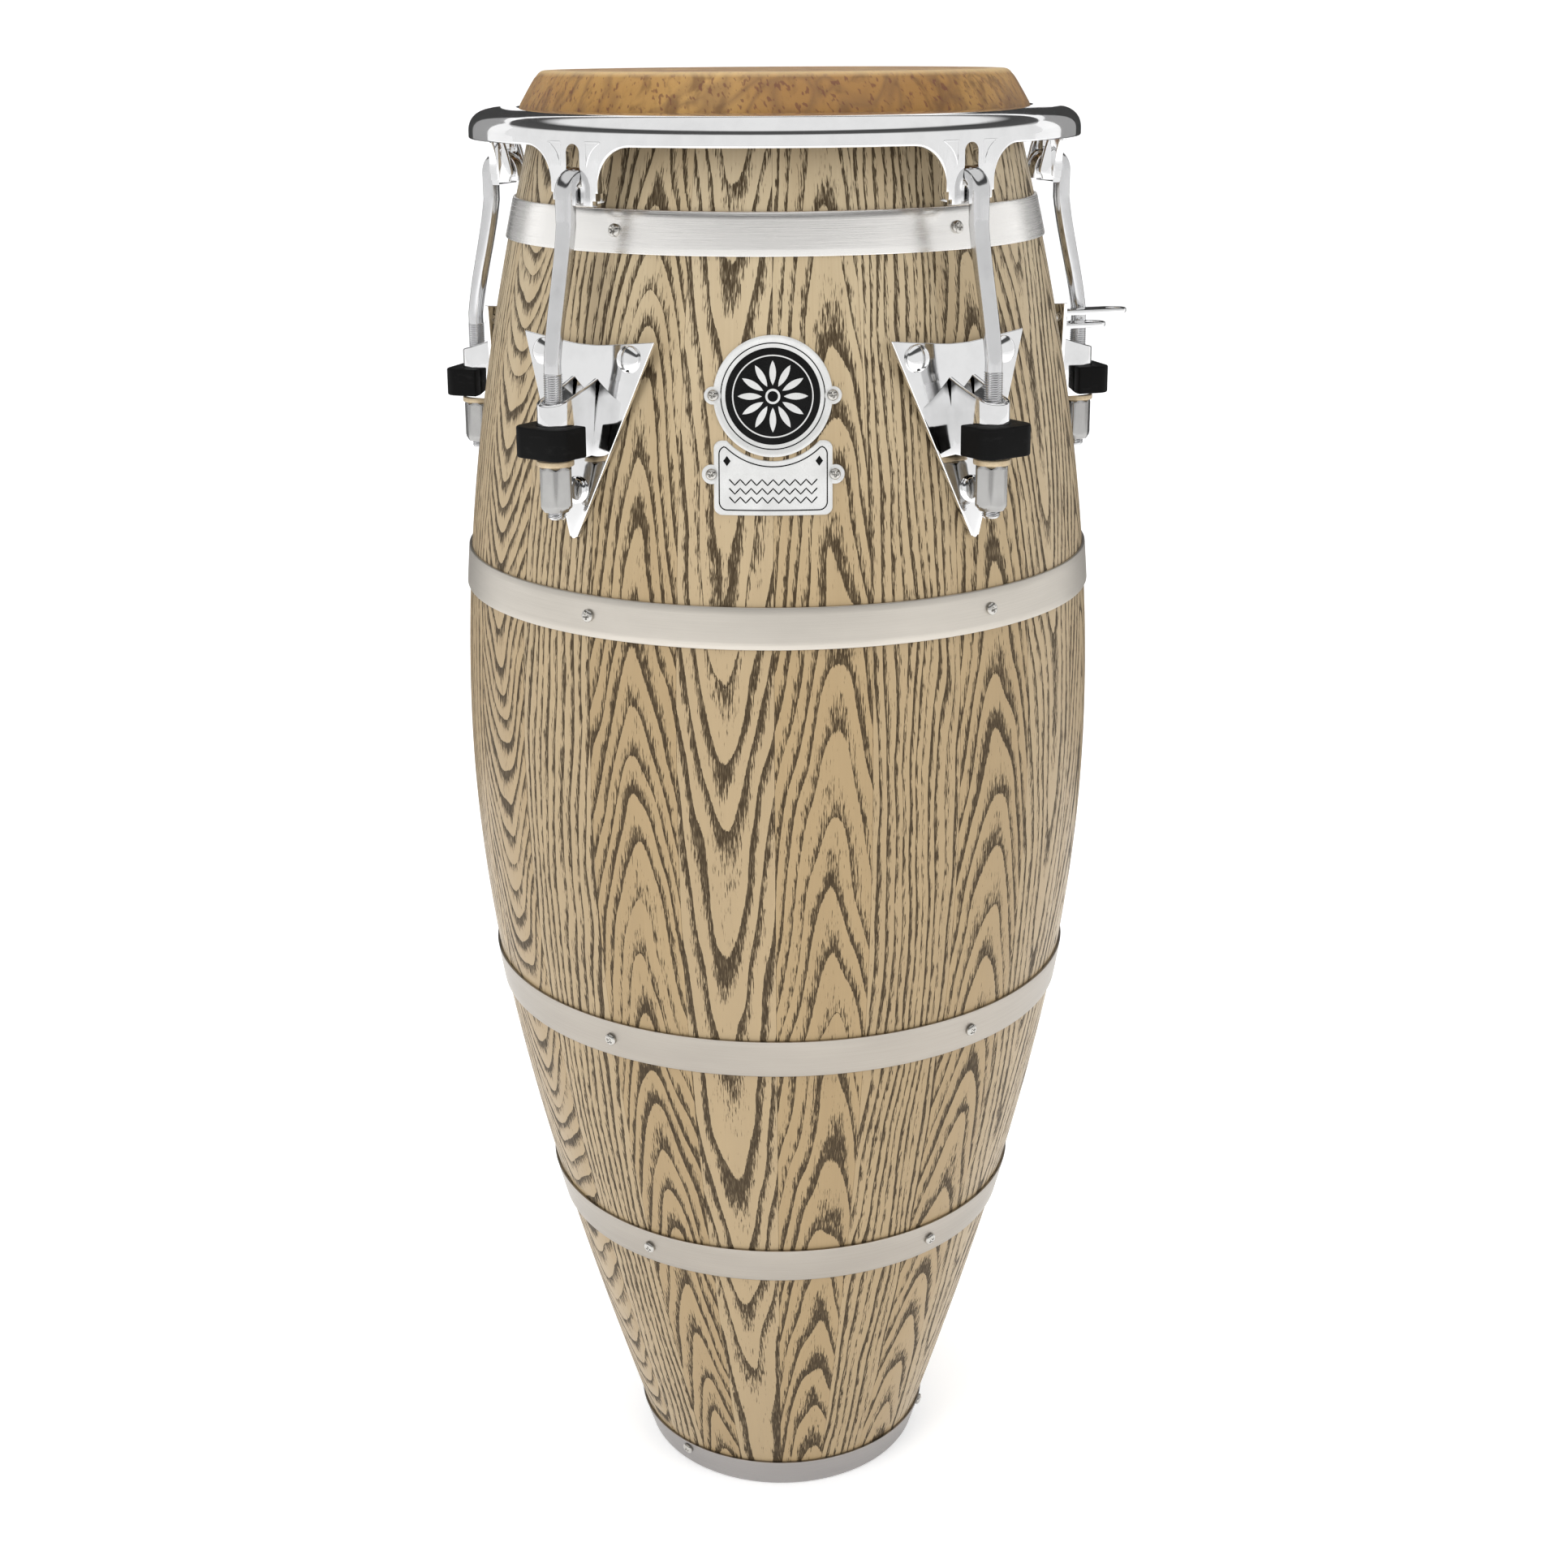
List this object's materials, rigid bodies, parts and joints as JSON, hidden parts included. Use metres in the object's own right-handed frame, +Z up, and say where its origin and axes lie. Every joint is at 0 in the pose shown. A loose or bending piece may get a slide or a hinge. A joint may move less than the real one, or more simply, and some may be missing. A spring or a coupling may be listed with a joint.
{
  "type": "conga drum",
  "caption": "Tapered stave-built hand drum with a skin head, a pull-down rim on tuning hooks, folded side-plate brackets, steel bands and a metal foot ring.",
  "frame": {"origin": "on the drum's axis, on the floor that the foot ring rests on", "axes": "+Z up along the drum's axis; -Y is the front, with the badges, and +X is to the right seen from the front"},
  "size_m": [0.3659, 0.3486, 0.762],
  "materials": {
    "ash": "clear satin over open-pored ash with darkened grain",
    "hide": "tanned rawhide, dry",
    "chrome": "polished",
    "band_steel": "satin brushed",
    "screw_steel": "nickel plated",
    "backing_steel": "zinc plated",
    "bumper_rubber": "moulded, satin",
    "washer_fibre": "dull",
    "badge_metal": "satin with dark filled lines"
  },
  "bodies": {
    "drum": {"shell_staves": "ash", "head_skin": "hide", "nut_washers": "washer_fibre", "side_plate_bolts": "chrome", "side_plate_nuts": "backing_steel", "wrench_hanger": "chrome", "neck_band": "band_steel", "belly_band": "band_steel", "lower_band": "band_steel", "base_band": "band_steel", "foot_ring": "band_steel", "neck_screws": "screw_steel", "belly_screws": "screw_steel", "lower_screws": "screw_steel", "base_screws": "screw_steel", "foot_screws": "screw_steel", "round_badge": "badge_metal", "lower_badge": "badge_metal", "badge_screws": "screw_steel", "side_plate_1": "chrome", "backing_plate_1": "backing_steel", "bumper_1": "bumper_rubber", "side_plate_2": "chrome", "backing_plate_2": "backing_steel", "bumper_2": "bumper_rubber", "side_plate_3": "chrome", "backing_plate_3": "backing_steel", "bumper_3": "bumper_rubber", "side_plate_4": "chrome", "backing_plate_4": "backing_steel", "bumper_4": "bumper_rubber", "side_plate_5": "chrome", "backing_plate_5": "backing_steel", "bumper_5": "bumper_rubber"},
    "rim_set": {"rim": "chrome", "flesh_hoop": "hide", "tuning_hook_1": "chrome", "tuning_hook_2": "chrome", "tuning_hook_3": "chrome", "tuning_hook_4": "chrome", "tuning_hook_5": "chrome"},
    "nut_1": {"tuning_nut_1": "chrome"},
    "nut_2": {"tuning_nut_2": "chrome"},
    "nut_3": {"tuning_nut_3": "chrome"},
    "nut_4": {"tuning_nut_4": "chrome"},
    "nut_5": {"tuning_nut_5": "chrome"}
  },
  "joints": [
    {"name": "rim_slide", "type": "slide", "parent": "drum", "child": "rim_set", "axis": [0, 0, 1], "range_m": [-0.005, 0.003]},
    {"name": "nut_turn_1", "type": "hinge", "parent": "drum", "child": "nut_1", "pos_m": [-0.10051, -0.13834, 0.575], "axis": [0, 0, 1], "range_deg": [-1025, 1705]},
    {"name": "nut_turn_2", "type": "hinge", "parent": "drum", "child": "nut_2", "pos_m": [0.10051, -0.13834, 0.575], "axis": [0, 0, 1], "range_deg": [-1025, 1705]},
    {"name": "nut_turn_3", "type": "hinge", "parent": "drum", "child": "nut_3", "pos_m": [0.16263, 0.05284, 0.575], "axis": [0, 0, 1], "range_deg": [-1025, 1705]},
    {"name": "nut_turn_4", "type": "hinge", "parent": "drum", "child": "nut_4", "pos_m": [0, 0.171, 0.575], "axis": [0, 0, 1], "range_deg": [-1025, 1705]},
    {"name": "nut_turn_5", "type": "hinge", "parent": "drum", "child": "nut_5", "pos_m": [-0.16263, 0.05284, 0.575], "axis": [0, 0, 1], "range_deg": [-1025, 1705]}
  ],
  "couplings": [
    {"joint": "nut_turn_1", "follows": "rim_slide", "rad_per_m": -5938.7},
    {"joint": "nut_turn_2", "follows": "rim_slide", "rad_per_m": -5938.7},
    {"joint": "nut_turn_3", "follows": "rim_slide", "rad_per_m": -5938.7},
    {"joint": "nut_turn_4", "follows": "rim_slide", "rad_per_m": -5938.7},
    {"joint": "nut_turn_5", "follows": "rim_slide", "rad_per_m": -5938.7}
  ]
}
